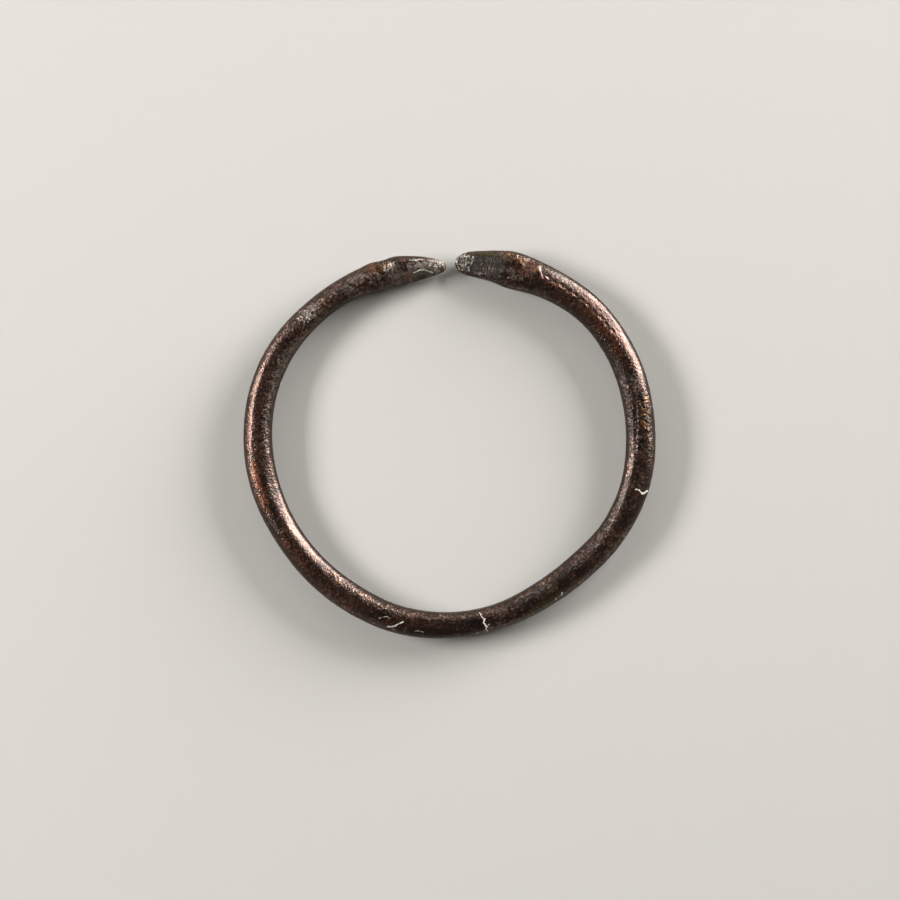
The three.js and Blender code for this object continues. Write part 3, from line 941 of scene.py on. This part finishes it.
def matt_paper(paper):
    """Uncoated paper, pressed smooth: it scatters light evenly and shows no gloss."""
    material = bpy.data.materials.new("matt_paper")
    material.use_nodes = True
    tree = material.node_tree
    tree.nodes.clear()
    shader = add(tree, "ShaderNodeBsdfPrincipled", {"Base Color": rgba(paper), "Roughness": 0.95})
    add(tree, "ShaderNodeOutputMaterial", {"Surface": shader})
    return material


# Lamps: name, azimuth from +X anticlockwise and elevation in degrees, width and height in metres
LAMPS = (
    ("left_lamp", 172, 27, 0.45, 0.2),
    ("right_lamp", 36, 16, 0.65, 0.4),
    ("back_lamp", 105, 34, 0.75, 0.45),
)
LAMP_AWAY = 0.9  # metres from the bracelet


class BRACELET_OT_stage(bpy.types.Operator):
    """Sets the pale floor, the soft lamps and the camera over the bracelet"""

    bl_idname = "bracelet.stage"
    bl_label = "Stage"
    FLAT, BEND, WALL = 1.3, 0.5, 2.0  # metres: reach of the flat floor, bend and wall height
    BEND_STEP = 10  # degrees between the corners of the bend
    ROUND_STEPS = 96  # steps of the sheet's full turn

    def execute(self, context):
        scene = context.scene
        settings = scene.bracelet_stage
        middle = Vector((settings.aim_x, settings.aim_y, (BAR_LOW.z + BAR_HIGH.z) / 2))
        self.floor(settings)
        for name, azimuth, elevation, width, height in LAMPS:
            lamp = self.lamp(name, middle, math.radians(azimuth), math.radians(elevation))
            lamp.size, lamp.size_y = width, height
            lamp.energy = getattr(settings, name)
        scene.camera = self.camera(settings, middle)
        scene.world = self.fill(settings)
        scene.view_settings.view_transform = "Standard"
        return {"FINISHED"}

    def floor(self, settings):
        """A round sheet of paper that curves up to a wall."""
        corners = [(0.0, 0.0), (self.FLAT, 0.0)]
        for degrees in range(self.BEND_STEP, 90 + self.BEND_STEP, self.BEND_STEP):
            turn = math.radians(degrees)
            reach, height = self.BEND * math.sin(turn), self.BEND * (1 - math.cos(turn))
            corners.append((self.FLAT + reach, height))
        corners.append((self.FLAT + self.BEND, self.WALL))
        mesh = bpy.data.meshes.new("floor")
        mesh.from_pydata(
            [(reach, 0.0, height) for reach, height in corners],
            [(i, i + 1) for i in range(len(corners) - 1)], [],
        )
        floor = bpy.data.objects.new("floor", mesh)
        bpy.context.scene.collection.objects.link(floor)
        alone(floor)
        bpy.ops.object.mode_set(mode="EDIT")
        bpy.ops.mesh.select_all(action="SELECT")
        bpy.ops.mesh.spin(
            steps=self.ROUND_STEPS, angle=2 * math.pi, center=(0, 0, 0), axis=(0, 0, 1)
        )
        bpy.ops.mesh.select_all(action="SELECT")
        bpy.ops.mesh.remove_doubles(threshold=MM)
        bpy.ops.mesh.normals_make_consistent(inside=True)
        bpy.ops.object.mode_set(mode="OBJECT")
        bpy.ops.object.shade_smooth()
        floor.data.materials.append(matt_paper(settings.paper))

    def lamp(self, name, middle, turn, rise):
        """A rectangular soft lamp that is turned to the middle; returns its data."""
        towards = Vector(
            (math.cos(turn) * math.cos(rise), math.sin(turn) * math.cos(rise), math.sin(rise))
        )
        bpy.ops.object.light_add(type="AREA", location=middle + towards * LAMP_AWAY)
        lamp = bpy.context.object
        lamp.name = name
        lamp.rotation_euler = towards.to_track_quat("Z", "Y").to_euler()
        lamp.visible_camera = False
        lamp.data.shape = "RECTANGLE"
        return lamp.data

    def camera(self, settings, middle):
        """A long lens straight above the bracelet."""
        data = bpy.data.cameras.new("camera")
        data.lens = settings.lens
        away = settings.frame_width * data.lens / data.sensor_width
        bpy.ops.object.camera_add(location=middle + Vector((0, 0, away)), rotation=(0, 0, 0))
        camera = bpy.context.object
        camera.data = data
        return camera

    def fill(self, settings):
        """Weak white light from all round."""
        world = bpy.data.worlds.new("studio")
        world.use_nodes = True
        background = world.node_tree.nodes["Background"]
        background.inputs["Color"].default_value = rgba((1.0, 1.0, 1.0))
        background.inputs["Strength"].default_value = settings.fill
        return world


class BRACELET_PT_panel(bpy.types.Panel):
    """Settings and steps of the bracelet"""

    bl_idname = "BRACELET_PT_panel"
    bl_label = "Bracelet"
    bl_space_type = "VIEW_3D"
    bl_region_type = "UI"
    bl_category = "Bracelet"

    def draw(self, context):
        for group in GROUPS:
            box = self.layout.box()
            for name in GROUPS[group].__annotations__:
                box.prop(getattr(context.scene, group), name)
        for step in STEPS:
            self.layout.operator(step.bl_idname)


GROUPS = {
    "bracelet_skin": BraceletSkin,
    "bracelet_deposits": BraceletDeposits,
    "bracelet_colours": BraceletColours,
    "bracelet_stage": BraceletStage,
}
STEPS = (
    BRACELET_OT_skin, BRACELET_OT_marks, BRACELET_OT_deposits, BRACELET_OT_patina,
    BRACELET_OT_stage,
)
CLASSES = (*GROUPS.values(), *STEPS, BRACELET_PT_panel)


def register():
    """Registers the classes and puts the settings on the scene."""
    for item in CLASSES:
        bpy.utils.register_class(item)
    for name, group in GROUPS.items():
        setattr(bpy.types.Scene, name, PointerProperty(type=group))


def unregister():
    """Takes the settings off the scene and the classes out again."""
    for name in GROUPS:
        delattr(bpy.types.Scene, name)
    for item in reversed(CLASSES):
        bpy.utils.unregister_class(item)


def main():
    """Runs every step."""
    register()
    bpy.ops.bracelet.skin()
    bpy.ops.bracelet.marks()
    bpy.ops.bracelet.deposits()
    bpy.ops.bracelet.patina()
    bpy.ops.bracelet.stage()


if __name__ == "__main__":
    main()
